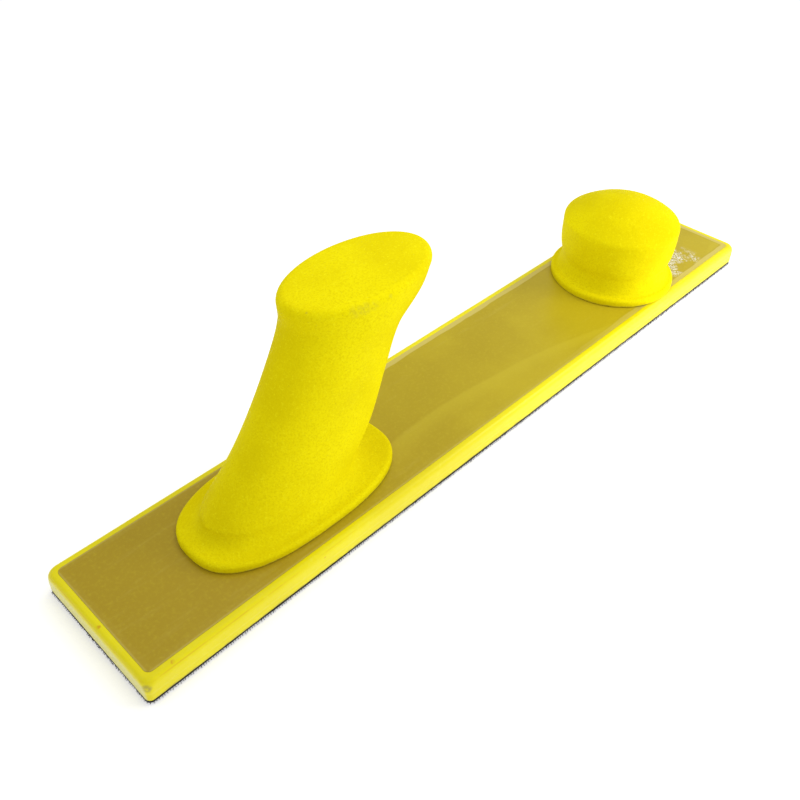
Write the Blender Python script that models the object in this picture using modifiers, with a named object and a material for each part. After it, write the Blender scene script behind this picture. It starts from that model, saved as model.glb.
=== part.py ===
"""Long hand file board: a stiff plate set in a moulded pad, with a tall rear grip and a low
front knob screwed on from underneath and a hook face for the abrasive.

Metres, +Z up. The origin is the centre of the board's underside. +X runs along the board
towards the knob, and +Y runs across it.
"""
import math

import bmesh
import bpy
from mathutils import Matrix, Vector

MM = 0.001
FIT_GAP = 0.3 * MM

# Board
BOARD_LENGTH = 419 * MM
BOARD_WIDTH = 70 * MM
BOARD_TOP = 13.2 * MM
CORNER_RADIUS = 3.6 * MM
HOOK_THICKNESS = 2.1 * MM
HOOK_INSET = 0.3 * MM
RIM_WIDTH = 3.3 * MM
RIM_ROUND = 2.2 * MM
PLATE_THICKNESS = 3.2 * MM
PLATE_CORNER_RADIUS = 2.5 * MM

# Screws and moulded-in inserts
SCREW_RADIUS = 3.0 * MM
SCREW_HEAD_RADIUS = 5.9 * MM
SCREW_HEAD_HEIGHT = 2.9 * MM
SCREW_TIP_HEIGHT = 33 * MM
SCREW_TIP_CHAMFER = 0.8 * MM
DRIVE_RADIUS = 2.3 * MM
DRIVE_DEPTH = 1.8 * MM
INSERT_RADIUS = 4.5 * MM
INSERT_BOTTOM = 15.5 * MM
INSERT_TOP = 29.5 * MM
INSERT_GROOVE_DEPTH = 0.6 * MM
INSERT_GROOVE_WIDTH = 2.5 * MM
POCKET_TOP = 35 * MM

# Rear grip: a flange, and a neck that leans forward and flares at the top
GRIP_X = -113 * MM
GRIP_FLANGE_HALF_LENGTH = 52 * MM
GRIP_FLANGE_HALF_WIDTH = 27.2 * MM
GRIP_FLANGE_SQUARENESS = 2.6
GRIP_SCREW_SPACING = 34 * MM
GRIP_TOP = 109.2 * MM
GRIP_TOP_ROUND = 3.4 * MM
# Neck sections: height, centre along the board, half length, half width
GRIP_SECTIONS = (
    (24.5 * MM, -117.5 * MM, 38.0 * MM, 20.6 * MM),
    (41.0 * MM, -104.5 * MM, 36.3 * MM, 19.1 * MM),
    (62.5 * MM, -93.5 * MM, 33.2 * MM, 17.8 * MM),
    (84.0 * MM, -83.6 * MM, 31.4 * MM, 18.0 * MM),
    (96.5 * MM, -75.2 * MM, 34.9 * MM, 19.6 * MM),
    (105.0 * MM, -73.5 * MM, 36.8 * MM, 20.7 * MM),
)

# Front knob: a drum with a slight waist, a rounded shoulder and a spherical crown
KNOB_X = 128.7 * MM
KNOB_FLANGE_RADIUS = 33.9 * MM
KNOB_WAIST_RADIUS = 28.8 * MM
KNOB_WAIST_HEIGHT = 27 * MM
KNOB_SHOULDER_RADIUS = 31.1 * MM
KNOB_SHOULDER_HEIGHT = 47.5 * MM
KNOB_SHOULDER_ROUND = 3.2 * MM
KNOB_CROWN_ANGLE = 38

# Both flanges
FLANGE_EDGE = 4.1 * MM
FLANGE_ROUND = 2.0 * MM
FLANGE_FOOT_ROUND = 0.6 * MM

ROUND_STEPS = 48
SMALL_STEPS = 24
SMOOTH_ANGLE = math.radians(35)

PLATE_TOP = BOARD_TOP
PLATE_BOTTOM = PLATE_TOP - PLATE_THICKNESS
SEAT = PLATE_TOP + FIT_GAP
HEAD_BOTTOM = PLATE_BOTTOM + 0.1 * MM
GRIP_SCREWS = (
    ("rear", GRIP_X - GRIP_SCREW_SPACING / 2),
    ("front", GRIP_X + GRIP_SCREW_SPACING / 2),
)


def clear_scene():
    for old in list(bpy.data.objects):
        bpy.data.objects.remove(old, do_unlink=True)


def make_collection(name):
    collection = bpy.data.collections.new(name)
    bpy.context.scene.collection.children.link(collection)
    return collection


def make_material(name, color, roughness, metallic=0.0):
    material = bpy.data.materials.new(name)
    material.use_nodes = True
    shader = material.node_tree.nodes["Principled BSDF"]
    shader.inputs["Base Color"].default_value = (*color, 1.0)
    shader.inputs["Roughness"].default_value = roughness
    shader.inputs["Metallic"].default_value = metallic
    return material


def add_object(name, mesh, collection, material=None):
    obj = bpy.data.objects.new(name, mesh)
    collection.objects.link(obj)
    if material:
        mesh.materials.append(material)
    return obj


def mesh_from_bmesh(name, bm):
    bmesh.ops.recalc_face_normals(bm, faces=bm.faces)
    mesh = bpy.data.meshes.new(name)
    bm.to_mesh(mesh)
    bm.free()
    return mesh


def smooth(mesh):
    mesh.shade_smooth()
    mesh.set_sharp_from_angle(angle=SMOOTH_ANGLE)


def rounded_block(name, length, width, low, high, corner, top_round=0.0):
    """A block with rounded upright corners and, if asked, a rounded top edge."""
    bm = bmesh.new()
    bmesh.ops.create_cube(bm, size=1.0)
    bmesh.ops.scale(bm, vec=Vector((length, width, high - low)), verts=bm.verts)
    bmesh.ops.translate(bm, vec=Vector((0, 0, (low + high) / 2)), verts=bm.verts)
    upright = [e for e in bm.edges if abs(e.verts[0].co.z - e.verts[1].co.z) > (high - low) / 2]
    bmesh.ops.bevel(bm, geom=upright, offset=corner, segments=6, profile=0.5, affect="EDGES")
    if top_round:
        rim = [e for e in bm.edges if all(abs(v.co.z - high) < 0.01 * MM for v in e.verts)]
        bmesh.ops.bevel(bm, geom=rim, offset=top_round, segments=4, profile=0.5, affect="EDGES")
    return mesh_from_bmesh(name, bm)


def cut(obj, cutter):
    modifier = obj.modifiers.new(f"cut_{cutter.name}", "BOOLEAN")
    modifier.operation = "DIFFERENCE"
    modifier.solver = "EXACT"
    modifier.object = cutter
    cutter.hide_render = True
    cutter.display_type = "WIRE"


def turned(name, profile, steps, collection, x, material=None):
    """Turn a profile of (radius, height) about an upright axis at x."""
    mesh = bpy.data.meshes.new(name)
    closed = profile[0] == profile[-1]
    points = profile[:-1] if closed else profile
    edges = [(i, i + 1) for i in range(len(points) - 1)]
    if closed:
        edges.append((len(points) - 1, 0))
    mesh.from_pydata([(radius, 0, height) for radius, height in points], edges, [])
    obj = add_object(name, mesh, collection, material)
    obj.location.x = x
    screw = obj.modifiers.new("turn", "SCREW")
    screw.angle = math.tau
    screw.steps = steps
    screw.render_steps = steps
    screw.use_merge_vertices = True
    screw.merge_threshold = 0.00001
    screw.use_smooth_shade = True
    return obj


def arc(centre, radii, start, end, steps):
    """Points on an ellipse in a profile plane, angles in degrees from its outward axis."""
    points = []
    for i in range(steps + 1):
        angle = math.radians(start + (end - start) * i / steps)
        points.append((centre[0] + radii[0] * math.cos(angle), centre[1] + radii[1] * math.sin(angle)))
    return points


def smooth_value(knots, values, at):
    """Hermite interpolation with finite-difference slopes through unevenly spaced knots."""
    last = len(knots) - 1
    slopes = []
    for i in range(last + 1):
        before = max(i - 1, 0)
        after = min(i + 1, last)
        slopes.append((values[after] - values[before]) / (knots[after] - knots[before]))
    i = 0
    while i < last - 1 and at > knots[i + 1]:
        i += 1
    span = knots[i + 1] - knots[i]
    t = (at - knots[i]) / span
    return (
        (2 * t**3 - 3 * t**2 + 1) * values[i]
        + (t**3 - 2 * t**2 + t) * span * slopes[i]
        + (-2 * t**3 + 3 * t**2) * values[i + 1]
        + (t**3 - t**2) * span * slopes[i + 1]
    )


def ring_points(height, centre_x, half_length, half_width, squareness):
    """A superellipse; squareness 2 is an ellipse, and more is squarer."""
    points = []
    for i in range(ROUND_STEPS):
        angle = math.tau * i / ROUND_STEPS
        across = math.copysign(abs(math.cos(angle)) ** (2 / squareness), math.cos(angle))
        along = math.copysign(abs(math.sin(angle)) ** (2 / squareness), math.sin(angle))
        points.append(Vector((centre_x + half_length * across, half_width * along, height)))
    return points


def flange_edge_profile():
    """Inset and height of a flange's edge, from its foot up to its flat top."""
    foot = arc((-FLANGE_FOOT_ROUND, SEAT + FLANGE_FOOT_ROUND), (FLANGE_FOOT_ROUND,) * 2, -90, 0, 2)
    shoulder_height = SEAT + FLANGE_EDGE - FLANGE_ROUND
    shoulder = arc((-FLANGE_ROUND, shoulder_height), (FLANGE_ROUND,) * 2, 0, 90, 4)
    return foot + shoulder


def grip_rings():
    """Every section of the grip, from the flange's foot to the crown."""
    rings = []
    for inset, height in flange_edge_profile():
        rings.append(ring_points(height, GRIP_X, GRIP_FLANGE_HALF_LENGTH + inset,
                                 GRIP_FLANGE_HALF_WIDTH + inset, GRIP_FLANGE_SQUARENESS))
    heights, centres, lengths, widths = zip(*GRIP_SECTIONS)
    flange_ring = rings[-1]
    flange_height = flange_ring[0].z
    neck_ring = ring_points(heights[0], centres[0], lengths[0], widths[0], 2)
    fillet_steps = 6
    for i in range(1, fillet_steps):
        angle = math.pi / 2 * i / fillet_steps
        inward = math.sin(angle) ** 0.8
        height = flange_height + (heights[0] - flange_height) * (1 - math.cos(angle))
        ring = [outer.lerp(inner, inward) for outer, inner in zip(flange_ring, neck_ring)]
        rings.append([Vector((point.x, point.y, height)) for point in ring])
    neck_steps = 18
    for i in range(neck_steps + 1):
        height = heights[0] + (heights[-1] - heights[0]) * i / neck_steps
        rings.append(ring_points(
            height,
            smooth_value(heights, centres, height),
            smooth_value(heights, lengths, height),
            smooth_value(heights, widths, height),
            2,
        ))
    for outward, height in arc((-GRIP_TOP_ROUND, heights[-1]), (GRIP_TOP_ROUND,) * 2, 0, 90, 5)[1:]:
        rings.append(ring_points(height, centres[-1], lengths[-1] + outward, widths[-1] + outward, 2))
    flat_height = rings[-1][0].z
    crown_height = GRIP_TOP - flat_height
    for share in (0.7, 0.35):
        rings.append(ring_points(
            flat_height + crown_height * (1 - share**2),
            centres[-1],
            (lengths[-1] - GRIP_TOP_ROUND) * share,
            (widths[-1] - GRIP_TOP_ROUND) * share,
            2,
        ))
    return rings


def loft(name, rings, top_point):
    """A closed skin through rings of equal count, capped flat below and by a fan above."""
    bm = bmesh.new()
    loops = [[bm.verts.new(point) for point in ring] for ring in rings]
    count = len(loops[0])
    for lower, upper in zip(loops, loops[1:]):
        for i in range(count):
            j = (i + 1) % count
            bm.faces.new((lower[i], lower[j], upper[j], upper[i]))
    bm.faces.new(list(reversed(loops[0])))
    peak = bm.verts.new(top_point)
    for i in range(count):
        bm.faces.new((loops[-1][i], loops[-1][(i + 1) % count], peak))
    return mesh_from_bmesh(name, bm)


def knob_profile():
    """The knob's outline from the crown's centre down its outer side to the seat."""
    round_centre = (KNOB_SHOULDER_RADIUS - KNOB_SHOULDER_ROUND, KNOB_SHOULDER_HEIGHT)
    shoulder = arc(round_centre, (KNOB_SHOULDER_ROUND,) * 2, 90 - KNOB_CROWN_ANGLE, 0, 4)
    crown_radius = shoulder[0][0] / math.sin(math.radians(KNOB_CROWN_ANGLE))
    crown_centre = (0.0, shoulder[0][1] - crown_radius * math.cos(math.radians(KNOB_CROWN_ANGLE)))
    crown = arc(crown_centre, (crown_radius,) * 2, 90, 90 - KNOB_CROWN_ANGLE, 8)
    crown[0] = (0.0, crown[0][1])
    side_height = KNOB_SHOULDER_HEIGHT - KNOB_WAIST_HEIGHT
    side_depth = KNOB_SHOULDER_RADIUS - KNOB_WAIST_RADIUS
    side_steps = 8
    side = []
    for i in range(1, side_steps):
        drop = i / side_steps
        side.append((KNOB_SHOULDER_RADIUS - side_depth * drop**4, KNOB_SHOULDER_HEIGHT - side_height * drop))
    edge = [(KNOB_FLANGE_RADIUS + inset, height) for inset, height in flange_edge_profile()]
    flange_top = edge[-1]
    fillet_size = (flange_top[0] - KNOB_WAIST_RADIUS, KNOB_WAIST_HEIGHT - flange_top[1])
    fillet = arc((flange_top[0], KNOB_WAIST_HEIGHT), fillet_size, 180, 270, 5)
    return crown[:-1] + shoulder + side + fillet[:-1] + list(reversed(edge)) + [(0.0, SEAT)]


def screw_profile(clearance=0.0):
    """Countersunk screw, head down; with clearance it is the hole that the screw needs."""
    head = SCREW_HEAD_RADIUS + clearance
    shank = SCREW_RADIUS + clearance
    outline = [
        (0.0, SCREW_TIP_HEIGHT),
        (shank - SCREW_TIP_CHAMFER, SCREW_TIP_HEIGHT),
        (shank, SCREW_TIP_HEIGHT - SCREW_TIP_CHAMFER),
        (shank, HEAD_BOTTOM + SCREW_HEAD_HEIGHT),
        (head, HEAD_BOTTOM),
    ]
    low = HEAD_BOTTOM - 4 * clearance
    if clearance:
        outline.append((head, low))
    return outline + [(0.0, low)]


def insert_profile():
    """Threaded insert: a sleeve with two retaining grooves, as a closed outline."""
    bore = SCREW_RADIUS + FIT_GAP
    groove = INSERT_RADIUS - INSERT_GROOVE_DEPTH
    outline = [(INSERT_RADIUS, INSERT_TOP)]
    length = INSERT_TOP - INSERT_BOTTOM
    for share in (1 / 3, 2 / 3):
        middle = INSERT_TOP - length * share
        outline += [
            (INSERT_RADIUS, middle + INSERT_GROOVE_WIDTH / 2),
            (groove, middle + INSERT_GROOVE_WIDTH / 2),
            (groove, middle - INSERT_GROOVE_WIDTH / 2),
            (INSERT_RADIUS, middle - INSERT_GROOVE_WIDTH / 2),
        ]
    outline += [(INSERT_RADIUS, INSERT_BOTTOM), (bore, INSERT_BOTTOM), (bore, INSERT_TOP)]
    return outline + outline[:1]


def pocket_profile():
    radius = INSERT_RADIUS + FIT_GAP
    low = SEAT - 4 * FIT_GAP
    return [(0.0, POCKET_TOP), (radius, POCKET_TOP), (radius, low), (0.0, low)]


def make_board(parts, cutters):
    hook_black = make_material("hook_black", (0.02, 0.02, 0.022), 0.9)
    pad_yellow = make_material("pad_yellow", (0.86, 0.80, 0.02), 0.45)
    laminate = make_material("amber_laminate", (0.45, 0.33, 0.04), 0.3)

    hook_length = BOARD_LENGTH - 2 * HOOK_INSET
    hook_mesh = rounded_block("hook_sheet", hook_length, BOARD_WIDTH - 2 * HOOK_INSET,
                              0.0, HOOK_THICKNESS, CORNER_RADIUS)
    add_object("hook_sheet", hook_mesh, parts, hook_black)

    pad_mesh = rounded_block("base_pad", BOARD_LENGTH, BOARD_WIDTH,
                             HOOK_THICKNESS + FIT_GAP, BOARD_TOP, CORNER_RADIUS, RIM_ROUND)
    pad = add_object("base_pad", pad_mesh, parts, pad_yellow)
    tray_mesh = rounded_block(
        "plate_tray", BOARD_LENGTH - 2 * RIM_WIDTH, BOARD_WIDTH - 2 * RIM_WIDTH,
        PLATE_BOTTOM - FIT_GAP, BOARD_TOP + RIM_WIDTH, PLATE_CORNER_RADIUS + FIT_GAP)
    cut(pad, add_object("plate_tray", tray_mesh, cutters))

    plate_inset = RIM_WIDTH + FIT_GAP
    plate_mesh = rounded_block(
        "backing_plate", BOARD_LENGTH - 2 * plate_inset, BOARD_WIDTH - 2 * plate_inset,
        PLATE_BOTTOM, PLATE_TOP, PLATE_CORNER_RADIUS)
    plate = add_object("backing_plate", plate_mesh, parts, laminate)
    for name, x in GRIP_SCREWS + (("knob", KNOB_X),):
        hole = turned(f"plate_hole_{name}", screw_profile(FIT_GAP), SMALL_STEPS, cutters, x)
        cut(plate, hole)


def make_handles(parts, cutters):
    grip_yellow = make_material("grip_yellow", (0.84, 0.78, 0.0), 0.6)
    knob_yellow = make_material("knob_yellow", (0.84, 0.80, 0.0), 0.55)

    crown_point = Vector((GRIP_SECTIONS[-1][1], 0, GRIP_TOP))
    grip_mesh = loft("rear_grip", grip_rings(), crown_point)
    smooth(grip_mesh)
    grip = add_object("rear_grip", grip_mesh, parts, grip_yellow)
    for name, x in GRIP_SCREWS:
        cut(grip, turned(f"grip_pocket_{name}", pocket_profile(), SMALL_STEPS, cutters, x))

    knob = turned("front_knob", knob_profile(), ROUND_STEPS, parts, KNOB_X, knob_yellow)
    cut(knob, turned("knob_pocket", pocket_profile(), SMALL_STEPS, cutters, KNOB_X))


def make_fasteners(parts, cutters):
    steel = make_material("zinc_steel", (0.62, 0.62, 0.60), 0.35, 1.0)
    brass = make_material("insert_brass", (0.70, 0.52, 0.24), 0.35, 1.0)
    places = [(f"grip_{name}", x) for name, x in GRIP_SCREWS] + [("knob", KNOB_X)]
    for name, x in places:
        screw = turned(f"{name}_screw", screw_profile(), SMALL_STEPS, parts, x, steel)
        bm = bmesh.new()
        bmesh.ops.create_cone(bm, cap_ends=True, segments=6, radius1=DRIVE_RADIUS,
                              radius2=DRIVE_RADIUS, depth=2 * DRIVE_DEPTH,
                              matrix=Matrix.Translation((x, 0, HEAD_BOTTOM)))
        cut(screw, add_object(f"{name}_drive", mesh_from_bmesh(f"{name}_drive", bm), cutters))
        turned(f"{name}_insert", insert_profile(), SMALL_STEPS, parts, x, brass)


def main():
    clear_scene()
    parts = make_collection("hand_file_board")
    cutters = make_collection("cutters")
    make_board(parts, cutters)
    make_handles(parts, cutters)
    make_fasteners(parts, cutters)


main()
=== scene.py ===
import math
import random

import bmesh
import bpy
from mathutils import Matrix, Vector, noise


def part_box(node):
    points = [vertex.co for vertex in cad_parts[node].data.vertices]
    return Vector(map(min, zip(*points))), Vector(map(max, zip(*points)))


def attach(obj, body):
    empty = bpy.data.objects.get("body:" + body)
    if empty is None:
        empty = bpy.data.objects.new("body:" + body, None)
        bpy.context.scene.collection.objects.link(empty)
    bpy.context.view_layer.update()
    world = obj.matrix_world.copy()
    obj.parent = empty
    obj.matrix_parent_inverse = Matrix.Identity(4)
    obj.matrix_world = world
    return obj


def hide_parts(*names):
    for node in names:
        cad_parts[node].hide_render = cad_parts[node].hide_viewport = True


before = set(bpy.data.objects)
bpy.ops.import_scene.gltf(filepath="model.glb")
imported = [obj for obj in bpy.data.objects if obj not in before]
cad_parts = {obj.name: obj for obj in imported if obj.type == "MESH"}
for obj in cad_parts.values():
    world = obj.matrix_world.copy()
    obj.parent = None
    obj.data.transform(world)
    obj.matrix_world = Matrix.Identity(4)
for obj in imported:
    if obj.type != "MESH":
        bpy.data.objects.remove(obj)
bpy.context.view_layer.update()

MM = 0.001
SEED = 7

# Where the CAD pieces lie, in metres, in the row frame
PAD_LOW, PAD_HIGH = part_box("base_pad")
PLATE_LOW, PLATE_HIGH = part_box("backing_plate")
HOOK_LOW, HOOK_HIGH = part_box("hook_sheet")
GRIP_LOW, GRIP_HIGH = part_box("rear_grip")
KNOB_LOW, KNOB_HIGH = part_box("front_knob")

# Board
HALF_LENGTH = PAD_HIGH.x
HALF_WIDTH = PAD_HIGH.y
PLATE_HALF_LENGTH = PLATE_HIGH.x
PLATE_HALF_WIDTH = PLATE_HIGH.y
RIM_TOP = PAD_HIGH.z
CORNER_RADIUS = 5 * MM
LOW_CORNER_RADIUS = 2.4 * MM
PLATE_CORNER_RADIUS = 2.5 * MM
CORNER_STEPS = 12
LENGTH_STEPS = 140
WIDTH_STEPS = 24
TRAY_GAP = 0.03 * MM
PAD_BOTTOM = HOOK_HIGH.z + 0.12 * MM
WAVINESS = 0.10 * MM
WAVE_SCALE = 28

# Hook sheet: a thin backing with moulded J-shaped hooks
BACKING_LOW = 1.05 * MM
# The backing's edge stands this far outside the CAD sheet's, so the inset is negative
BACKING_INSET = -0.15 * MM
CUT_WANDER = 0.25 * MM
CUT_WANDER_SCALE = 90
HOOK_PITCH = 1.4 * MM
HOOK_ROW_PITCH = 2.1 * MM
HOOK_EDGE = 1.1 * MM
EDGE_HOOK_PITCH = 1.15 * MM
EDGE_HOOK_INSET = 0.05 * MM
HOOK_SIDES = 3
HOOK_LEAN = math.radians(14)
HOOK_TWIST = 0.35
HOOK_SHIFT = 0.12 * MM
HOOK_LIFT = 0.25 * MM
# Radius of each ring of a hook, from its root to its tip
HOOK_RADII = (0.22 * MM, 0.17 * MM, 0.15 * MM, 0.14 * MM, 0.07 * MM)

# Handles
FLANGE_EDGE = 4.4 * MM
FLANGE_ROUND = 2.0 * MM
FLANGE_FOOT_ROUND = 0.7 * MM
SEAT = PLATE_HIGH.z + 0.02 * MM
ROUND_STEPS = 160
GRIP_FLANGE_HALF_LENGTH = 52 * MM
GRIP_X = GRIP_LOW.x + GRIP_FLANGE_HALF_LENGTH
GRIP_FLANGE_HALF_WIDTH = GRIP_HIGH.y
GRIP_FLANGE_SQUARENESS = 2.6
GRIP_TOP = GRIP_HIGH.z
GRIP_TOP_ROUND = 3.4 * MM
# Neck sections: height, centre along the board, half length, half width
GRIP_SECTIONS = (
    (24.5 * MM, -117.5 * MM, 38.0 * MM, 20.6 * MM),
    (41.0 * MM, -104.5 * MM, 36.3 * MM, 19.1 * MM),
    (62.5 * MM, -93.5 * MM, 33.2 * MM, 17.8 * MM),
    (84.0 * MM, -83.6 * MM, 31.4 * MM, 18.0 * MM),
    (96.5 * MM, -75.2 * MM, 34.9 * MM, 19.6 * MM),
    (105.0 * MM, -73.5 * MM, 36.8 * MM, 20.7 * MM),
)
KNOB_X = (KNOB_LOW.x + KNOB_HIGH.x) / 2
KNOB_FLANGE_RADIUS = KNOB_HIGH.y
KNOB_WAIST_RADIUS = 28.8 * MM
KNOB_WAIST_HEIGHT = 27 * MM
KNOB_SHOULDER_RADIUS = 31.1 * MM
KNOB_SHOULDER_HEIGHT = 47.5 * MM
KNOB_SHOULDER_ROUND = 3.2 * MM
KNOB_CROWN_ANGLE = 38
SKIN_WAVE = 0.14 * MM
SKIN_WAVE_SCALE = 45

# Camera at the photograph's angle
CAMERA_PLACE = (-0.27441, -0.20777, 0.29881)
CAMERA_AZIMUTH = -45.19
CAMERA_ELEVATION = 40.24
CAMERA_ROLL = 0.91
CAMERA_LENS = 40.41
CAMERA_SENSOR = 36
CAMERA_SHIFT = (0.0375, -0.0296)

# Studio
WORLD_STRENGTH = 0.70
FLOOR_HALF = 4.0
FLOOR_GREY = 0.93
FLOOR_GLOW = 0.35
# Area lights: name, place, target, size, power and spread in degrees
LIGHTS = (
    ("key", (0.36, -0.38, 0.24), (0.17, 0.0, 0.02), 0.3, 0.58, 100),
    ("overhead_rear", (-0.03, 0.0, 0.30), (-0.03, 0.0, 0.0), 0.25, 0.17, 180),
    ("overhead_front", (0.15, 0.02, 0.45), (0.15, 0.0, 0.0), 0.3, 0.20, 180),
)


# ---------------------------------------------------------------- mesh helpers

def add_piece(name, mesh, material, slot, *nodes):
    """A piece of the object: it rides on the one body and stands for its CAD nodes."""
    obj = bpy.data.objects.new(name, mesh)
    bpy.context.scene.collection.objects.link(obj)
    mesh.materials.append(material)
    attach(obj, "root")
    if nodes:
        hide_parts(*nodes)
    return obj


def arc(centre, radii, start, end, steps):
    """Points on an ellipse in a profile plane, angles in degrees from its outward axis."""
    points = []
    for i in range(steps + 1):
        angle = math.radians(start + (end - start) * i / steps)
        points.append((centre[0] + radii[0] * math.cos(angle), centre[1] + radii[1] * math.sin(angle)))
    return points


def straight(start, end, steps):
    """Points after start, up to and with end, evenly spaced in a profile plane."""
    points = []
    for i in range(1, steps + 1):
        share = i / steps
        points.append((start[0] + (end[0] - start[0]) * share, start[1] + (end[1] - start[1]) * share))
    return points


def smooth_value(knots, values, at):
    """Hermite interpolation with finite-difference slopes through unevenly spaced knots."""
    last = len(knots) - 1
    slopes = []
    for i in range(last + 1):
        before = max(i - 1, 0)
        after = min(i + 1, last)
        slopes.append((values[after] - values[before]) / (knots[after] - knots[before]))
    i = 0
    while i < last - 1 and at > knots[i + 1]:
        i += 1
    span = knots[i + 1] - knots[i]
    t = (at - knots[i]) / span
    return (
        (2 * t**3 - 3 * t**2 + 1) * values[i]
        + (t**3 - 2 * t**2 + t) * span * slopes[i]
        + (-2 * t**3 + 3 * t**2) * values[i + 1]
        + (t**3 - t**2) * span * slopes[i + 1]
    )


def skin(name, rings, bottom, top):
    """A closed smooth skin through rings of equal count, closed by a fan at each end."""
    bm = bmesh.new()
    loops = [[bm.verts.new(point) for point in ring] for ring in rings]
    count = len(loops[0])
    for lower, upper in zip(loops, loops[1:]):
        for i in range(count):
            j = (i + 1) % count
            bm.faces.new((lower[i], lower[j], upper[j], upper[i]))
    for loop, centre in ((loops[0], bottom), (loops[-1], top)):
        middle = bm.verts.new(centre)
        for i in range(count):
            bm.faces.new((loop[i], loop[(i + 1) % count], middle))
    bmesh.ops.recalc_face_normals(bm, faces=bm.faces)
    mesh = bpy.data.meshes.new(name)
    bm.to_mesh(mesh)
    bm.free()
    mesh.shade_smooth()
    mesh.set_sharp_from_angle(angle=math.radians(40))
    return mesh


def rectangle_ring(half_length, half_width, corner, height):
    """A rounded rectangle with evenly divided sides, anticlockwise from its right side."""
    points = []
    straight_x = half_length - corner
    straight_y = half_width - corner
    sides = (
        ((half_length, -straight_y), (half_length, straight_y), WIDTH_STEPS),
        ((straight_x, half_width), (-straight_x, half_width), LENGTH_STEPS),
        ((-half_length, straight_y), (-half_length, -straight_y), WIDTH_STEPS),
        ((-straight_x, -half_width), (straight_x, -half_width), LENGTH_STEPS),
    )
    centres = (
        (straight_x, straight_y),
        (-straight_x, straight_y),
        (-straight_x, -straight_y),
        (straight_x, -straight_y),
    )
    for quarter, ((start, end, steps), centre) in enumerate(zip(sides, centres)):
        points.append(start)
        points += straight(start, end, steps)
        turn = arc(centre, (corner, corner), 90 * quarter, 90 * quarter + 90, CORNER_STEPS)
        points += turn[1:-1]
    return [Vector((x, y, height)) for x, y in points]


def waved(point, amount, scale, seed):
    """The point moved by a smooth, seeded wander of up to amount."""
    at = Vector(point) * scale + Vector((seed, seed, seed))
    return point + noise.noise_vector(at) * amount


# ------------------------------------------------------------------ node helpers

class Material:
    """A material's node tree, with a short call for each kind of node used here."""

    def __init__(self, name):
        self.data = bpy.data.materials.new(name)
        self.data.use_nodes = True
        self.tree = self.data.node_tree
        self.shader = self.tree.nodes["Principled BSDF"]
        self.place = self.tree.nodes.new("ShaderNodeTexCoord").outputs["Object"]

    def feed(self, socket, value):
        if isinstance(value, bpy.types.NodeSocket):
            self.tree.links.new(value, socket)
        elif isinstance(value, tuple) and len(value) == 3 and socket.type == "RGBA":
            socket.default_value = (*value, 1.0)
        else:
            socket.default_value = value

    def set(self, **inputs):
        for name, value in inputs.items():
            self.feed(self.shader.inputs[name.replace("_", " ")], value)

    def stretched(self, factors):
        node = self.tree.nodes.new("ShaderNodeMapping")
        self.tree.links.new(self.place, node.inputs["Vector"])
        node.inputs["Scale"].default_value = factors
        return node.outputs["Vector"]

    def noise(self, scale, detail=3.0, roughness=0.5, distortion=0.0, stretch=None):
        node = self.tree.nodes.new("ShaderNodeTexNoise")
        self.tree.links.new(self.stretched(stretch) if stretch else self.place, node.inputs["Vector"])
        node.inputs["Scale"].default_value = scale
        node.inputs["Detail"].default_value = detail
        node.inputs["Roughness"].default_value = roughness
        node.inputs["Distortion"].default_value = distortion
        return node.outputs["Fac"]

    def cells(self, scale):
        node = self.tree.nodes.new("ShaderNodeTexVoronoi")
        self.tree.links.new(self.place, node.inputs["Vector"])
        node.inputs["Scale"].default_value = scale
        return node.outputs["Distance"]

    def axis(self, name):
        node = self.tree.nodes.new("ShaderNodeSeparateXYZ")
        self.tree.links.new(self.place, node.inputs["Vector"])
        return node.outputs[name]

    def math(self, operation, first, second=0.0):
        node = self.tree.nodes.new("ShaderNodeMath")
        node.operation = operation
        self.feed(node.inputs[0], first)
        self.feed(node.inputs[1], second)
        return node.outputs["Value"]

    def mask(self, value, low, high, to_low=0.0, to_high=1.0):
        node = self.tree.nodes.new("ShaderNodeMapRange")
        node.interpolation_type = "SMOOTHSTEP"
        self.feed(node.inputs["Value"], value)
        node.inputs["From Min"].default_value = low
        node.inputs["From Max"].default_value = high
        node.inputs["To Min"].default_value = to_low
        node.inputs["To Max"].default_value = to_high
        return node.outputs["Result"]

    def window(self, value, rise_from, rise_to, fall_from, fall_to):
        """1 between two soft edges, 0 outside them."""
        up = self.mask(value, rise_from, rise_to)
        down = self.mask(value, fall_from, fall_to, 1.0, 0.0)
        return self.math("MULTIPLY", up, down)

    def spot(self, place, reach, texture):
        """1 at a place on the object, fading to 0 at its reach, broken up by a texture."""
        node = self.tree.nodes.new("ShaderNodeVectorMath")
        node.operation = "DISTANCE"
        self.tree.links.new(self.place, node.inputs[0])
        node.inputs[1].default_value = place
        near = self.mask(node.outputs["Value"], reach * 0.4, reach, 1.0, 0.0)
        return self.math("MULTIPLY", near, texture)

    def mix(self, factor, first, second):
        node = self.tree.nodes.new("ShaderNodeMix")
        node.data_type = "RGBA"
        self.feed(node.inputs["Factor"], factor)
        colours = [socket for socket in node.inputs if socket.type == "RGBA"]
        self.feed(colours[0], first)
        self.feed(colours[1], second)
        return next(socket for socket in node.outputs if socket.type == "RGBA")

    def bump(self, height, strength, distance, normal=None):
        node = self.tree.nodes.new("ShaderNodeBump")
        node.inputs["Distance"].default_value = distance
        self.feed(node.inputs["Strength"], strength)
        self.feed(node.inputs["Height"], height)
        if normal:
            self.tree.links.new(normal, node.inputs["Normal"])
        return node.outputs["Normal"]


# --------------------------------------------------------------------- materials

def marked(m, colour, marks, grain):
    """The colour with a stain at each mark, broken up by a grain."""
    for place, reach, amount, stain in marks:
        colour = m.mix(m.math("MULTIPLY", m.spot(place, reach, grain), amount), colour, stain)
    return colour


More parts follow.
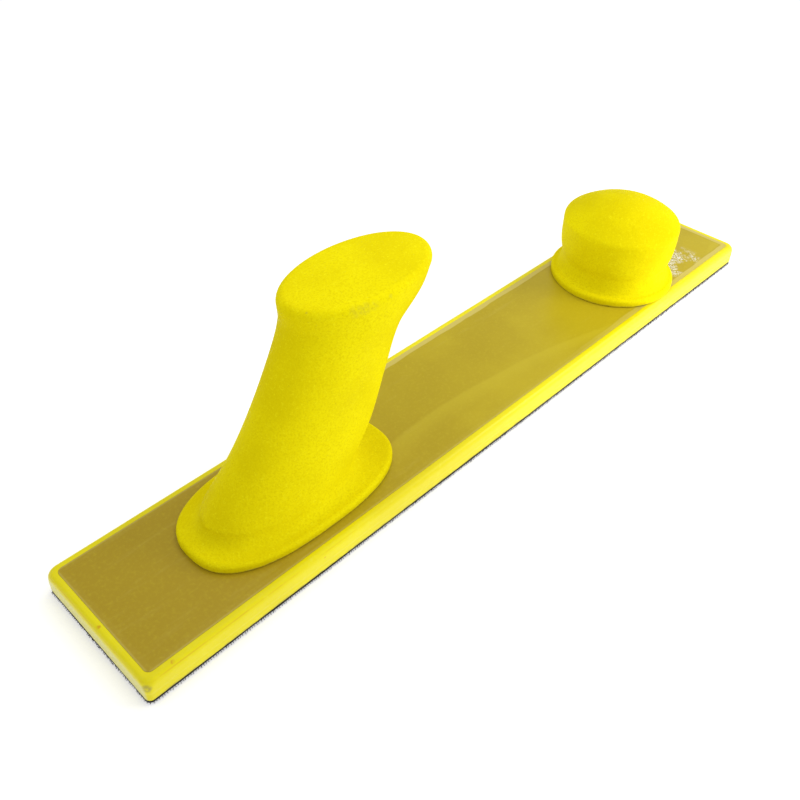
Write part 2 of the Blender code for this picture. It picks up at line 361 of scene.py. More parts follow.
FOAM_YELLOW = (0.84, 0.735, 0.002)
FOAM_DEEP = (0.72, 0.60, 0.001)
FOAM_PALE = (0.88, 0.80, 0.008)
FOAM_PORE = (0.42, 0.33, 0.01)
FOAM_SPECK = (0.62, 0.27, 0.01)
GRIME = (0.30, 0.25, 0.06)

# Marks on the handles: place, reach, strength and colour of each
FOAM_MARKS = (
    ((-91.0 * MM, -18.2 * MM, GRIP_TOP - 3.2 * MM), 3.6 * MM, 0.14, GRIME),
    ((-87.0 * MM, -19.0 * MM, GRIP_TOP - 3.4 * MM), 3.2 * MM, 0.20, GRIME),
    ((-83.0 * MM, -19.6 * MM, GRIP_TOP - 3.4 * MM), 2.6 * MM, 0.14, GRIME),
    ((-75.4 * MM, -20.3 * MM, GRIP_TOP - 2.6 * MM), 1.2 * MM, 0.25, GRIME),
    ((-106.2 * MM, -8.0 * MM, GRIP_TOP - 1.0 * MM), 0.9 * MM, 0.45, GRIME),
)


def foam_material():
    """Integral-skin moulded foam: matt, orange-peel skin, fine pores and faint handling marks."""
    m = Material("moulded_foam")
    drift = m.mask(m.noise(22, 3.0), 0.35, 0.68)
    colour = m.mix(drift, FOAM_DEEP, FOAM_YELLOW)
    cloud = m.mask(m.noise(75, 4.0, 0.6), 0.5, 0.8, 0.0, 0.55)
    colour = m.mix(cloud, colour, FOAM_YELLOW)
    speckle = m.mask(m.noise(1150, 2.0, 0.6), 0.45, 0.66, 0.0, 0.75)
    colour = m.mix(speckle, colour, FOAM_DEEP)
    flecks = m.mask(m.noise(900, 2.0, 0.6, 1.5), 0.56, 0.70, 0.0, 0.7)
    colour = m.mix(flecks, colour, FOAM_PALE)
    pore_field = m.cells(620)
    pores = m.mask(pore_field, 0.05, 0.16, 1.0, 0.0)
    few = m.mask(m.noise(210, 2.0), 0.56, 0.66)
    pores = m.math("MULTIPLY", pores, few)
    colour = m.mix(m.math("MULTIPLY", pores, 0.55), colour, FOAM_PORE)
    specks = m.mask(m.cells(95), 0.035, 0.06, 1.0, 0.0)
    specks = m.math("MULTIPLY", specks, m.mask(m.noise(40, 2.0), 0.55, 0.62))
    colour = m.mix(m.math("MULTIPLY", specks, 0.6), colour, FOAM_SPECK)
    colour = marked(m, colour, FOAM_MARKS, m.mask(m.noise(800, 3.0), 0.35, 0.6, 0.2, 1.0))
    foot = m.mask(m.axis("Z"), SEAT, SEAT + 1.5 * MM, 1.0, 0.0)
    dirt = m.math("MULTIPLY", foot, m.mask(m.noise(160, 4.0), 0.40, 0.70, 0.25, 0.9))
    colour = m.mix(dirt, colour, GRIME)
    handled = m.mask(m.noise(48, 5.0, 0.65), 0.45, 0.75)
    m.set(
        Base_Color=colour,
        Roughness=m.mask(handled, 0.0, 1.0, 0.66, 0.52),
        IOR=1.07,
    )
    peel = m.bump(m.noise(640, 3.0, 0.55), 0.75, 0.32 * MM)
    grain = m.bump(m.noise(1900, 2.0, 0.5), 0.6, 0.10 * MM, peel)
    m.set(Normal=m.bump(pores, -0.6, 0.15 * MM, grain))
    return m.data


PAD_YELLOW = (0.84, 0.75, 0.003)
PAD_DEEP = (0.77, 0.67, 0.002)
PAD_PALE = (0.82, 0.78, 0.06)
PAD_PAINTED_REFLECTION = (0.72, 0.69, 0.24)
PAD_LINE = (0.68, 0.42, 0.01)

# Marks on the pad: place, reach, strength and colour of each
PAD_MARKS = (
    ((-HALF_LENGTH + 1.2 * MM, -HALF_WIDTH + 1.2 * MM, RIM_TOP - 3.6 * MM), 2.4 * MM, 0.65, GRIME),
    ((-HALF_LENGTH + 1.8 * MM, -2.5 * MM, RIM_TOP), 1.1 * MM, 0.8, FOAM_SPECK),
    ((-HALF_LENGTH + 13 * MM, -HALF_WIDTH + 1.6 * MM, RIM_TOP), 1.2 * MM, 0.7, FOAM_SPECK),
)


def pad_material():
    """Cast urethane: semi-gloss yellow, with scuffs, a stained mould line and a pale painted reflection low
    on the rear end wall.
    """
    m = Material("cast_urethane")
    drift = m.mask(m.noise(18, 3.0), 0.35, 0.7)
    colour = m.mix(drift, PAD_DEEP, PAD_YELLOW)
    mottled = m.mask(m.noise(420, 4.0, 0.65), 0.5, 0.8, 0.0, 0.4)
    colour = m.mix(mottled, colour, PAD_PALE)
    # Painted reflection: the lower part of the rear end wall is paled towards a whitish yellow, standing in
    # for the bright floor reflected in it.
    rear = m.mask(m.axis("X"), -HALF_LENGTH + 0.6 * MM, -HALF_LENGTH + 0.05 * MM)
    low = m.mask(m.axis("Z"), RIM_TOP - 4.2 * MM, RIM_TOP - 1.0 * MM, 1.0, 0.0)
    painted_reflection = m.math("MULTIPLY", m.math("MULTIPLY", rear, low), m.mask(m.noise(90, 3.0), 0.2, 0.6, 0.7, 1.0))
    colour = m.mix(m.math("MULTIPLY", painted_reflection, 0.85), colour, PAD_PAINTED_REFLECTION)
    above = m.mask(m.axis("Z"), RIM_TOP - 0.7 * MM, RIM_TOP - 1.0 * MM)
    below = m.mask(m.axis("Z"), RIM_TOP - 1.5 * MM, RIM_TOP - 1.1 * MM)
    line = m.math("MULTIPLY", above, below)
    line = m.math("MULTIPLY", line, m.mask(m.axis("X"), -60 * MM, -150 * MM, 0.08, 0.55))
    line = m.math("MULTIPLY", line, m.mask(m.noise(70, 4.0, 0.6), 0.3, 0.62))
    colour = m.mix(line, colour, PAD_LINE)
    specks = m.mask(m.cells(110), 0.045, 0.075, 1.0, 0.0)
    specks = m.math("MULTIPLY", specks, m.mask(m.noise(36, 2.0), 0.5, 0.6))
    colour = m.mix(m.math("MULTIPLY", specks, 0.7), colour, FOAM_SPECK)
    colour = marked(m, colour, PAD_MARKS, m.mask(m.noise(700, 3.0), 0.3, 0.6, 0.3, 1.0))
    scuffs = m.mask(m.noise(240, 5.0, 0.7, 0.6, (0.25, 1.0, 2.0)), 0.60, 0.72)
    colour = m.mix(m.math("MULTIPLY", scuffs, 0.22), colour, PAD_PALE)
    grime = m.mask(m.axis("Z"), PAD_BOTTOM, PAD_BOTTOM + 1.6 * MM, 0.7, 0.0)
    grime = m.math("MULTIPLY", grime, m.mask(m.noise(300, 4.0), 0.35, 0.65))
    colour = m.mix(grime, colour, GRIME)
    m.set(
        Base_Color=colour,
        Roughness=m.mask(scuffs, 0.0, 1.0, 0.36, 0.62),
        Specular_IOR_Level=0.22,
    )
    soft = m.bump(m.noise(130, 3.0, 0.5), 0.30, 0.25 * MM)
    m.set(Normal=m.bump(m.noise(1300, 3.0, 0.6), 0.25, 0.06 * MM, soft))
    return m.data


AMBER = (0.480, 0.374, 0.010)
AMBER_DEEP = (0.415, 0.311, 0.006)
AMBER_LIGHT = (0.55, 0.45, 0.022)
AMBER_PAINTED_SHADE = (0.395, 0.268, 0.010)
PAINTED_GLINT_WHITE = (0.93, 0.93, 0.88)
BAND_TAN = (0.60, 0.50, 0.12)
FIBRE = (0.54, 0.45, 0.08)


# Patch of painted glints beside the knob: where it rises and falls along and across the board
PATCH_X = (150 * MM, 156 * MM, 174 * MM, 186 * MM)
PATCH_Y = (-30 * MM, -25 * MM, -14 * MM, -6 * MM)


def laminate_body(m, curve_step, curve_rib):
    """The laminate's cloudy colour, with painted shade darkening it towards the rear end, fine fibres and a
    lighter curved stripe.
    """
    clouds = m.mask(m.noise(16, 4.0, 0.55), 0.35, 0.68)
    colour = m.mix(clouds, AMBER_DEEP, AMBER)
    # Painted shade: the rear end is darkened and browned, standing in for the light falling off towards it.
    rear = m.mask(m.axis("X"), -140 * MM, -75 * MM, 0.85, 0.0)
    colour = m.mix(rear, colour, AMBER_PAINTED_SHADE)
    fine = m.mask(m.noise(700, 3.0, 0.6), 0.45, 0.8, 0.0, 0.35)
    colour = m.mix(fine, colour, AMBER_LIGHT)
    # A lighter stripe beside the soft curved step, kept away from the rear end.
    rib = m.math("MULTIPLY", curve_step, curve_rib)
    rib = m.math("MULTIPLY", rib, m.mask(m.axis("X"), -110 * MM, -60 * MM))
    colour = m.mix(m.math("MULTIPLY", rib, 0.4), colour, AMBER_LIGHT)
    strands = m.mask(m.noise(190, 4.0, 0.7, 0.4, (0.12, 1.0, 1.0)), 0.57, 0.75, 0.0, 0.18)
    return m.mix(strands, colour, FIBRE)


def laminate_edge(m, colour):
    """A tan band of resin along the plate's edge, fainter at the rear, and a fillet at the rim."""
    along = m.math("ABSOLUTE", m.axis("X"))
    across = m.math("ABSOLUTE", m.axis("Y"))
    from_end = m.math("SUBTRACT", PLATE_HALF_LENGTH, along)
    from_side = m.math("SUBTRACT", PLATE_HALF_WIDTH, across)
    from_edge = m.math("MINIMUM", from_end, from_side)
    wander = m.mask(m.noise(60, 3.0), 0.3, 0.7, -0.3 * MM, 0.3 * MM)
    edge = m.math("ADD", from_edge, wander)
    band = m.mask(edge, 2.4 * MM, 3.2 * MM, 1.0, 0.0)
    slant = m.math("ADD", m.axis("X"), m.math("MULTIPLY", m.axis("Y"), 3.0))
    strength = m.mask(slant, -60 * MM, 90 * MM, 0.04, 0.85)
    inner = m.math("MULTIPLY", m.window(edge, 2.7 * MM, 3.1 * MM, 3.2 * MM, 3.9 * MM), strength)
    colour = m.mix(m.math("MULTIPLY", inner, 0.7), colour, AMBER_DEEP)
    colour = m.mix(m.math("MULTIPLY", band, strength), colour, BAND_TAN)
    fillet = m.mask(from_edge, 0.2 * MM, 1.1 * MM, 0.45, 0.0)
    return m.mix(fillet, colour, BAND_TAN)


def glint_patch(m):
    """1 in the patch beside the knob where white glints are painted and the resin is glossier and crinkled,
    0 elsewhere.
    """
    patch = m.math("MULTIPLY", m.window(m.axis("X"), *PATCH_X), m.window(m.axis("Y"), *PATCH_Y))
    return m.math("MULTIPLY", patch, m.mask(m.noise(130, 3.0), 0.40, 0.55))


def plate_material():
    """Amber resin laminate: cloudy body with painted shade at the rear, paler band along its edge, a lighter
    curved stripe, scratches, gloss and painted white glints beside the knob.
    """
    m = Material("amber_laminate")
    # A soft curved step across the plate, with a lighter stripe beside it.
    curve_field = m.noise(6, 0.5, 0.3, 0.2, (0.7, 1.5, 1.0))
    curve_step = m.mask(curve_field, 0.495, 0.505)
    curve_rib = m.mask(curve_field, 0.505, 0.56, 1.0, 0.0)
    colour = laminate_edge(m, laminate_body(m, curve_step, curve_rib))
    scratches = m.mask(m.noise(520, 4.0, 0.8, 0.2, (0.05, 1.0, 1.0)), 0.66, 0.72)
    colour = m.mix(m.math("MULTIPLY", scratches, 0.25), colour, AMBER_LIGHT)
    patch = glint_patch(m)
    # Painted highlight: fine white glints painted into the colour of the patch.
    painted_glints = m.mask(m.noise(1700, 3.0, 0.7, 0.4, (1.0, 0.5, 1.0)), 0.47, 0.56)
    colour = m.mix(m.math("MULTIPLY", painted_glints, patch), colour, PAINTED_GLINT_WHITE)
    m.set(
        Base_Color=colour,
        Roughness=m.mask(patch, 0.0, 1.0, 0.34, 0.12),
        Specular_IOR_Level=0.24,
    )
    rolling = m.bump(m.noise(34, 2.0, 0.4), 0.20, 0.6 * MM)
    ribbed = m.bump(curve_step, 0.25, 0.12 * MM, rolling)
    scratched = m.bump(m.noise(900, 3.0, 0.6, 0.0, (0.3, 1.0, 1.0)), 0.12, 0.05 * MM, ribbed)
    crinkle = m.math("MULTIPLY", m.noise(1100, 3.0, 0.7), patch)
    m.set(Normal=m.bump(crinkle, 1.0, 0.7 * MM, scratched))
    return m.data


def backing_material():
    """Woven nylon backing of the hook sheet."""
    m = Material("hook_backing_weave")
    wave_x = m.math("SINE", m.math("MULTIPLY", m.axis("X"), math.tau / (0.55 * MM)))
    wave_y = m.math("SINE", m.math("MULTIPLY", m.axis("Y"), math.tau / (0.55 * MM)))
    weave = m.math("MULTIPLY", wave_x, wave_y)
    shade = m.mask(m.noise(260, 4.0), 0.35, 0.7)
    colour = m.mix(shade, (0.012, 0.012, 0.013), (0.035, 0.034, 0.033))
    dust = m.mask(m.noise(70, 5.0, 0.7), 0.58, 0.74, 0.0, 0.4)
    colour = m.mix(dust, colour, (0.20, 0.18, 0.10))
    m.set(
        Base_Color=colour,
        Roughness=m.mask(shade, 0.0, 1.0, 0.75, 0.92),
        Specular_IOR_Level=0.3,
        Normal=m.bump(weave, 0.5, 0.12 * MM),
    )
    return m.data


def hook_material():
    """Dark nylon of the hooks, with dust caught in it."""
    m = Material("hook_nylon")
    shade = m.mask(m.noise(520, 3.0), 0.35, 0.7)
    colour = m.mix(shade, (0.010, 0.010, 0.011), (0.055, 0.052, 0.05))
    dust = m.mask(m.noise(120, 5.0, 0.7), 0.56, 0.72, 0.0, 0.5)
    colour = m.mix(dust, colour, (0.26, 0.23, 0.11))
    m.set(
        Base_Color=colour,
        Roughness=m.mask(shade, 0.0, 1.0, 0.35, 0.6),
        Specular_IOR_Level=0.5,
        Normal=m.bump(m.noise(4200, 2.0), 0.3, 0.03 * MM),
    )
    return m.data


def metal_material(name, light, dark, roughness):
    """Plated metal with turning marks, stain and rubbed spots."""
    m = Material(name)
    stain = m.mask(m.noise(260, 5.0, 0.65), 0.35, 0.7)
    colour = m.mix(stain, dark, light)
    turning = m.noise(500, 3.0, 0.6, 0.0, (0.2, 0.2, 8.0))
    m.set(
        Base_Color=colour,
        Metallic=1.0,
        Roughness=m.mask(stain, 0.0, 1.0, roughness + 0.18, roughness),
        Normal=m.bump(turning, 0.25, 0.03 * MM),
    )
    return m.data


# ------------------------------------------------------------------------- board

def pad_profile():
    """Inset and height down the pad's cross-section, from its underside out, up and into the tray."""
    low_round = 0.35 * MM
    wall_inset = 0.1 * MM
    step_height = 6.7 * MM
    edge = (1.9 * MM, 3.1 * MM)
    rim_inset = HALF_WIDTH - PLATE_HALF_WIDTH - TRAY_GAP
    inner_round = 0.22 * MM
    points = arc((wall_inset + low_round, PAD_BOTTOM + low_round), (-low_round, -low_round), 90, 0, 5)
    points += straight(points[-1], (wall_inset, step_height - 0.4 * MM), 4)
    points += straight(points[-1], (0.0, step_height), 2)
    points += straight(points[-1], (0.0, RIM_TOP - edge[1]), 4)
    points += arc((edge[0], RIM_TOP - edge[1]), (-edge[0], edge[1]), 0, 90, 10)[1:]
    points += straight(points[-1], (rim_inset - inner_round, RIM_TOP), 2)
    points += arc((rim_inset - inner_round, RIM_TOP - inner_round), (inner_round, inner_round), 90, 0, 3)[1:]
    points += straight(points[-1], (rim_inset, PLATE_LOW.z - TRAY_GAP), 3)
    return points


def make_pad():
    """The yellow pad with its soft upper edge and the tray that holds the plate."""
    rim_inset = HALF_WIDTH - PLATE_HALF_WIDTH - TRAY_GAP
    rings = []
    for inset, height in pad_profile():
        share = min(inset / rim_inset, 1.0)
        rise = min(max((height - PAD_BOTTOM) / (RIM_TOP - PAD_BOTTOM), 0.0), 1.0)
        outer = LOW_CORNER_RADIUS + (CORNER_RADIUS - LOW_CORNER_RADIUS) * rise**2
        corner = outer + (PLATE_CORNER_RADIUS - outer) * share
        ring = rectangle_ring(HALF_LENGTH - inset, HALF_WIDTH - inset, corner, height)
        fade = 1.0 - share**4
        rings.append([soft_edge(point, fade) for point in ring])
    bottom = Vector((0, 0, PAD_BOTTOM))
    tray = Vector((0, 0, PLATE_LOW.z - TRAY_GAP))
    mesh = skin("pad_body", rings, bottom, tray)
    return add_piece("pad_body", mesh, pad_material(), "pad", "base_pad")


def soft_edge(point, fade):
    """A slight unevenness along the pad's walls, which stays inside the pad's own box."""
    moved = waved(point, WAVINESS * fade, WAVE_SCALE, SEED)
    moved.x = max(-HALF_LENGTH, min(HALF_LENGTH, moved.x))
    moved.y = max(-HALF_WIDTH, min(HALF_WIDTH, moved.y))
    moved.z = min(RIM_TOP, max(PAD_BOTTOM, point.z + (moved.z - point.z) * 0.5))
    return moved


def dress_plate():
    """The CAD plate stays, with eased edges and the laminate material."""
    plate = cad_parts["backing_plate"]
    plate.material_slots[0].material = plate_material()
    ease = plate.modifiers.new("eased_edges", "BEVEL")
    ease.width = 0.25 * MM
    ease.segments = 3
    ease.limit_method = "ANGLE"
    ease.angle_limit = math.radians(50)
    ease.harden_normals = True


# -------------------------------------------------------------------- hook sheet

def make_backing():
    """The hook sheet's backing: a thin sheet with a slightly uneven cut edge."""
    half_length = HOOK_HIGH.x - BACKING_INSET
    half_width = HOOK_HIGH.y - BACKING_INSET
    ease = 0.12 * MM
    profile = ((ease, BACKING_LOW), (0.0, BACKING_LOW + ease), (0.0, HOOK_HIGH.z))
    rings = []
    for inset, height in profile:
        ring = rectangle_ring(half_length - inset, half_width - inset, LOW_CORNER_RADIUS, height)
        rings.append([cut_edge(point) for point in ring])
    mesh = skin("hook_backing", rings, Vector((0, 0, BACKING_LOW)), Vector((0, 0, HOOK_HIGH.z)))
    return add_piece("hook_backing", mesh, backing_material(), "hook", "hook_sheet")


def cut_edge(point):
    """A scissor-cut wander in the plane of the sheet."""
    moved = waved(point, CUT_WANDER, CUT_WANDER_SCALE, SEED)
    return Vector((moved.x, moved.y, point.z))


def hook_path(height):
    """A J in its own plane: from inside the backing, down the stem and round to the tip."""
    bend = 0.28 * MM
    points = [(0.0, height + 0.15 * MM), (0.03 * MM, 0.62 * MM)]
    points += arc((bend + 0.05 * MM, bend + 0.12 * MM), (-bend, -bend), 12, 150, 2)
    return points


def tube_points(path, radii, base, turn):
    """Rings of a thin tapering tube that follows a path in an upright plane, turned about Z."""
    points = []
    for i, (out, up) in enumerate(path):
        before = path[max(i - 1, 0)]
        after = path[min(i + 1, len(path) - 1)]
        run = Vector((after[0] - before[0], 0, after[1] - before[1])).normalized()
        side = Vector((0, 1, 0))
        normal = run.cross(side)
        for k in range(HOOK_SIDES):
            angle = math.tau * k / HOOK_SIDES
            offset = (side * math.cos(angle) + normal * math.sin(angle)) * radii[i]
            local = Vector((out, 0, up)) + offset
            points.append(base + turn @ local)
    return points


def tube_faces(first, ring_count):
    """Faces of one closed tube whose first point has this index."""
    faces = [tuple(first + k for k in range(HOOK_SIDES))]
    for ring in range(ring_count - 1):
        low = first + ring * HOOK_SIDES
        for k in range(HOOK_SIDES):
            j = (k + 1) % HOOK_SIDES
            faces.append((low + k, low + HOOK_SIDES + k, low + HOOK_SIDES + j, low + j))
    last = first + (ring_count - 1) * HOOK_SIDES
    faces.append(tuple(last + k for k in reversed(range(HOOK_SIDES))))
    return faces


def hook_places(low_x, high_x):
    """Where the hooks stand: rows along the board, every second one staggered."""
    rows = int((2 * (HOOK_HIGH.y - HOOK_EDGE)) / HOOK_ROW_PITCH)
    first_y = -rows * HOOK_ROW_PITCH / 2
    count = int((high_x - low_x) / HOOK_PITCH)
    for row in range(rows + 1):
        y = first_y + row * HOOK_ROW_PITCH
        stagger = HOOK_PITCH / 2 * (row % 2)
        for i in range(count):
            yield row, low_x + HOOK_PITCH / 4 + i * HOOK_PITCH + stagger, y


def inside_sheet(x, y):
    """True where a hook has backing all round it, the rounded corners counted."""
    spare_x = HOOK_HIGH.x - HOOK_EDGE - abs(x)
    spare_y = HOOK_HIGH.y - HOOK_EDGE - abs(y)
    if min(spare_x, spare_y) < 0:
        return False
    reach = LOW_CORNER_RADIUS
    if spare_x > reach or spare_y > reach:
        return True
    return (reach - spare_x) ** 2 + (reach - spare_y) ** 2 < reach**2


def edge_hook_places(low_x, high_x):
    """Where hooks stand along the sheet's cut edge, each facing outwards."""
    half_length = HOOK_HIGH.x - EDGE_HOOK_INSET
    half_width = HOOK_HIGH.y - EDGE_HOOK_INSET
    ring = rectangle_ring(half_length, half_width, LOW_CORNER_RADIUS, 0.0)
    spare = 0.0
    for start, end in zip(ring, ring[1:] + ring[:1]):
        run = end - start
        outward = math.atan2(-run.x, run.y)
        at = spare
        while at < run.length:
            point = start.lerp(end, at / run.length)
            if low_x <= point.x < high_x:
                yield outward, point.x, point.y
            at += EDGE_HOOK_PITCH
        spare = at - run.length


def make_hooks(name, low_x, high_x, material):
    """One half of the hooks, each a small closed J, a little uneven."""
    rng = random.Random(SEED)
    path = hook_path(BACKING_LOW)
    places = [(math.pi * (row % 2), x, y) for row, x, y in hook_places(low_x, high_x) if inside_sheet(x, y)]
    places += edge_hook_places(low_x, high_x)
    points = []
    faces = []
    for facing, x, y in places:
        shift_x = rng.uniform(-HOOK_SHIFT, HOOK_SHIFT)
        shift_y = rng.uniform(-HOOK_SHIFT, HOOK_SHIFT)
        place = Vector((x + shift_x, y + shift_y, 0))
        turn = Matrix.Rotation(facing + rng.gauss(0, HOOK_TWIST), 3, "Z")
        turn = turn @ Matrix.Rotation(rng.gauss(0, HOOK_LEAN), 3, "Y")
        hook = tube_points(path, HOOK_RADII, place, turn)
        lowest = min(point.z for point in hook)
        lift = Vector((0, 0, rng.uniform(0.0, HOOK_LIFT) - min(lowest, 0.0)))
        faces += tube_faces(len(points), len(path))
        points += [point + lift for point in hook]
    mesh = bpy.data.meshes.new(name)
    mesh.from_pydata(points, [], faces)
    mesh.shade_smooth()
    return add_piece(name, mesh, material, "hook")


# ----------------------------------------------------------------------- handles

def ellipse_ring(height, centre_x, half_length, half_width, squareness=2.0):
    """A superellipse; squareness 2 is an ellipse, and more is squarer."""
    points = []
    for i in range(ROUND_STEPS):
        angle = math.tau * i / ROUND_STEPS
        across = math.copysign(abs(math.cos(angle)) ** (2 / squareness), math.cos(angle))
        along = math.copysign(abs(math.sin(angle)) ** (2 / squareness), math.sin(angle))
        points.append(Vector((centre_x + half_length * across, half_width * along, height)))
    return points


def flange_edge_profile():
    """Inset and height of a flange's edge, from its foot up to its flat top."""
    foot = arc((-FLANGE_FOOT_ROUND, SEAT + FLANGE_FOOT_ROUND), (FLANGE_FOOT_ROUND,) * 2, -90, 0, 6)
    shoulder_height = SEAT + FLANGE_EDGE - FLANGE_ROUND
    shoulder = arc((-FLANGE_ROUND, shoulder_height), (FLANGE_ROUND,) * 2, 0, 90, 12)
    return foot + shoulder


def fillet_rings(flange_ring, neck_ring, steps):
    """Rings that sweep from the flange's top up into the neck."""
    low = flange_ring[0].z
    high = neck_ring[0].z
    rings = []
    for i in range(1, steps):
        angle = math.pi / 2 * i / steps
        inward = math.sin(angle) ** 0.8
        height = low + (high - low) * (1 - math.cos(angle))
        ring = [outer.lerp(inner, inward) for outer, inner in zip(flange_ring, neck_ring)]
        rings.append([Vector((point.x, point.y, height)) for point in ring])
    return rings


def grip_rings():
    """Every section of the grip, from the flange's foot to the crown."""
    rings = []
    for inset, height in flange_edge_profile():
        rings.append(ellipse_ring(height, GRIP_X, GRIP_FLANGE_HALF_LENGTH + inset,
                                  GRIP_FLANGE_HALF_WIDTH + inset, GRIP_FLANGE_SQUARENESS))
    heights, centres, lengths, widths = zip(*GRIP_SECTIONS)
    neck_ring = ellipse_ring(heights[0], centres[0], lengths[0], widths[0])
    rings += fillet_rings(rings[-1], neck_ring, 22)
    neck_steps = 70
    for i in range(neck_steps + 1):
        height = heights[0] + (heights[-1] - heights[0]) * i / neck_steps
        rings.append(ellipse_ring(
            height,
            smooth_value(heights, centres, height),
            smooth_value(heights, lengths, height),
            smooth_value(heights, widths, height),
        ))
    for outward, height in arc((-GRIP_TOP_ROUND, heights[-1]), (GRIP_TOP_ROUND,) * 2, 0, 90, 12)[1:]:
        rings.append(ellipse_ring(height, centres[-1], lengths[-1] + outward, widths[-1] + outward))
    flat_height = rings[-1][0].z
    crown_height = GRIP_TOP - flat_height
    crown_steps = 16
    for i in range(1, crown_steps):
        share = 1 - i / crown_steps
        rings.append(ellipse_ring(
            flat_height + crown_height * (1 - share**2),
            centres[-1],
            (lengths[-1] - GRIP_TOP_ROUND) * share,
            (widths[-1] - GRIP_TOP_ROUND) * share,
        ))
    return rings


def knob_profile():
    """The knob's outline as radius and height, from its foot up to the crown."""
    edge = [(KNOB_FLANGE_RADIUS + inset, height) for inset, height in flange_edge_profile()]
    flange_top = edge[-1]
    fillet_size = (flange_top[0] - KNOB_WAIST_RADIUS, KNOB_WAIST_HEIGHT - flange_top[1])
    fillet = arc((flange_top[0], KNOB_WAIST_HEIGHT), fillet_size, 270, 180, 16)
    side = []
    side_steps = 24
    for i in range(1, side_steps):
        drop = 1 - i / side_steps
        radius = KNOB_SHOULDER_RADIUS - (KNOB_SHOULDER_RADIUS - KNOB_WAIST_RADIUS) * drop**4
        height = KNOB_SHOULDER_HEIGHT - (KNOB_SHOULDER_HEIGHT - KNOB_WAIST_HEIGHT) * drop
        side.append((radius, height))
    round_centre = (KNOB_SHOULDER_RADIUS - KNOB_SHOULDER_ROUND, KNOB_SHOULDER_HEIGHT)
    shoulder = arc(round_centre, (KNOB_SHOULDER_ROUND,) * 2, 0, 90 - KNOB_CROWN_ANGLE, 10)
    crown_radius = shoulder[-1][0] / math.sin(math.radians(KNOB_CROWN_ANGLE))
    crown_centre = (0.0, shoulder[-1][1] - crown_radius * math.cos(math.radians(KNOB_CROWN_ANGLE)))
    crown = arc(crown_centre, (crown_radius,) * 2, 90 - KNOB_CROWN_ANGLE, 90, 20)
    return edge + fillet[1:] + side + shoulder + crown[1:-1], crown[-1][1]


def uneven(rings):
    """The same rings with the faint hand-finished wander of a cast skin, still at the foot."""
    moved = []
    for ring in rings:
        rise = min(max((ring[0].z - SEAT - 3 * MM) / (20 * MM), 0.0), 1.0)
        moved.append([waved(point, SKIN_WAVE * rise, SKIN_WAVE_SCALE, SEED) for point in ring])
    return moved


def make_grip(material):
    """The rear grip's closed skin, which stands for the CAD grip."""
    rings = uneven(grip_rings())
    middle = GRIP_SECTIONS[-1][1]
    mesh = skin("grip_body", rings, Vector((GRIP_X, 0, SEAT)), Vector((middle, 0, GRIP_TOP)))
    return add_piece("grip_body", mesh, material, "grip", "rear_grip")


def make_knob(material):
    """The front knob's closed skin, which stands for the CAD knob."""
    profile, top = knob_profile()
    rings = uneven([ellipse_ring(height, KNOB_X, radius, radius) for radius, height in profile])
    mesh = skin("knob_body", rings, Vector((KNOB_X, 0, SEAT)), Vector((KNOB_X, 0, top)))
    return add_piece("knob_body", mesh, material, "grip", "front_knob")


def dress_fasteners():
    """The CAD screws and inserts stay, with plated metal materials."""
    zinc = metal_material("zinc_plate", (0.62, 0.60, 0.55), (0.38, 0.36, 0.32), 0.28)
    brass = metal_material("brass", (0.72, 0.54, 0.22), (0.46, 0.32, 0.12), 0.30)
    for name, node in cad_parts.items():
        if name.endswith("_screw"):
            node.material_slots[0].material = zinc
        elif name.endswith("_insert"):
            node.material_slots[0].material = brass


# ------------------------------------------------------------------------ studio

def add_area_light(name, place, target, size, power, spread):
    data = bpy.data.lights.new(name, "AREA")
    data.shape = "DISK"
    data.size = size
    data.energy = power
    data.spread = math.radians(spread)
    light = bpy.data.objects.new(name, data)
    light.location = place
    direction = Vector(target) - Vector(place)
    light.rotation_euler = direction.to_track_quat("-Z", "Y").to_euler()
    bpy.context.scene.collection.objects.link(light)


def make_world():
    world = bpy.data.worlds.new("studio")
    world.use_nodes = True
    background = world.node_tree.nodes["Background"]
    background.inputs["Color"].default_value = (1.0, 1.0, 1.0, 1.0)
    background.inputs["Strength"].default_value = WORLD_STRENGTH
    bpy.context.scene.world = world


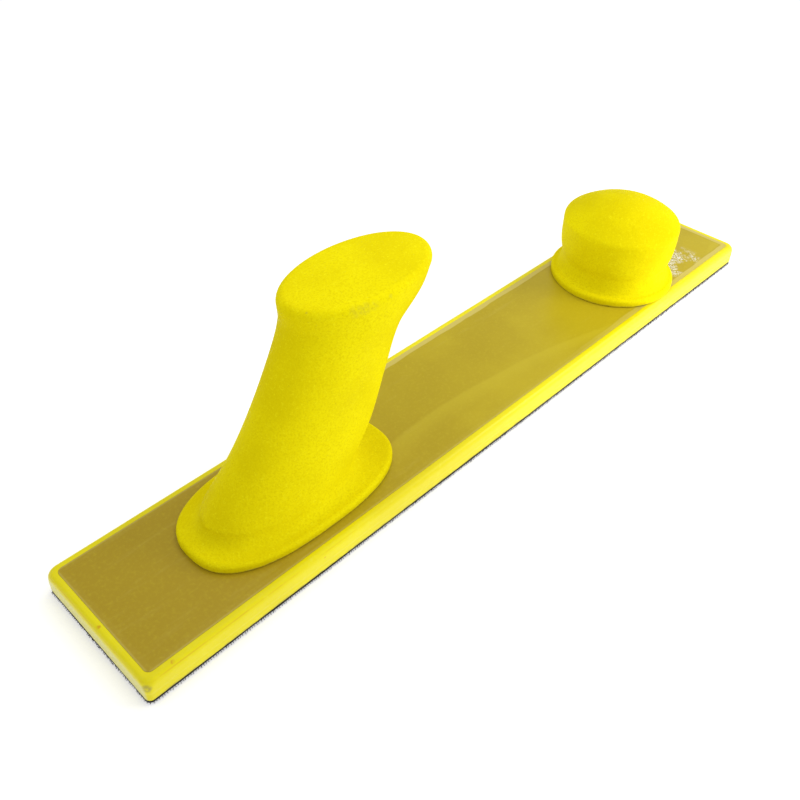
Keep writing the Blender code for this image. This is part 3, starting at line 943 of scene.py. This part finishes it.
def make_floor():
    """A plain pale floor that gives off a little light, so that it reads as near white."""
    mesh = bpy.data.meshes.new("floor")
    half = FLOOR_HALF
    corners = [(-half, -half, 0), (half, -half, 0), (half, half, 0), (-half, half, 0)]
    mesh.from_pydata(corners, [], [(0, 1, 2, 3)])
    floor = bpy.data.objects.new("floor", mesh)
    bpy.context.scene.collection.objects.link(floor)
    m = Material("pale_floor")
    m.set(
        Base_Color=(FLOOR_GREY, FLOOR_GREY, FLOOR_GREY),
        Roughness=0.9,
        Specular_IOR_Level=0.1,
        Emission_Color=(1.0, 1.0, 1.0),
        Emission_Strength=FLOOR_GLOW,
    )
    mesh.materials.append(m.data)


def make_camera():
    """The camera at the photograph's angle, from its place, angles and lens."""
    azimuth = math.radians(CAMERA_AZIMUTH)
    elevation = math.radians(CAMERA_ELEVATION)
    roll = math.radians(CAMERA_ROLL)
    back = Vector((
        math.sin(azimuth) * math.cos(elevation),
        -math.cos(azimuth) * math.cos(elevation),
        math.sin(elevation),
    ))
    right = (-back).cross(Vector((0, 0, 1))).normalized()
    up = right.cross(-back)
    turned_right = right * math.cos(roll) + up * math.sin(roll)
    turned_up = up * math.cos(roll) - right * math.sin(roll)
    data = bpy.data.cameras.new("photo_camera")
    data.sensor_width = CAMERA_SENSOR
    data.lens = CAMERA_LENS
    data.shift_x, data.shift_y = CAMERA_SHIFT
    data.clip_start = 0.01
    camera = bpy.data.objects.new("photo_camera", data)
    rotation = Matrix((turned_right, turned_up, back)).transposed().to_4x4()
    camera.matrix_world = Matrix.Translation(CAMERA_PLACE) @ rotation
    bpy.context.scene.collection.objects.link(camera)
    bpy.context.scene.camera = camera


def make_studio():
    """Even world light, the floor and three soft area lights."""
    bpy.context.scene.view_settings.view_transform = "Standard"
    make_world()
    make_floor()
    for light in LIGHTS:
        add_area_light(*light)


def make_hook_sheet():
    """The backing and its hooks, one flat sheet held under the pad."""
    backing = make_backing()
    nylon = hook_material()
    rear_hooks = make_hooks("hooks_rear", -HOOK_HIGH.x, 0.0, nylon)
    front_hooks = make_hooks("hooks_front", 0.0, HOOK_HIGH.x, nylon)


def main():
    """The studio, then the pad, plate and hook sheet, then the handles and fasteners."""
    # mathutils.noise starts from the clock unless it is seeded
    noise.seed_set(SEED)
    make_camera()
    make_studio()
    make_pad()
    dress_plate()
    make_hook_sheet()
    foam = foam_material()
    make_grip(foam)
    make_knob(foam)
    dress_fasteners()


main()
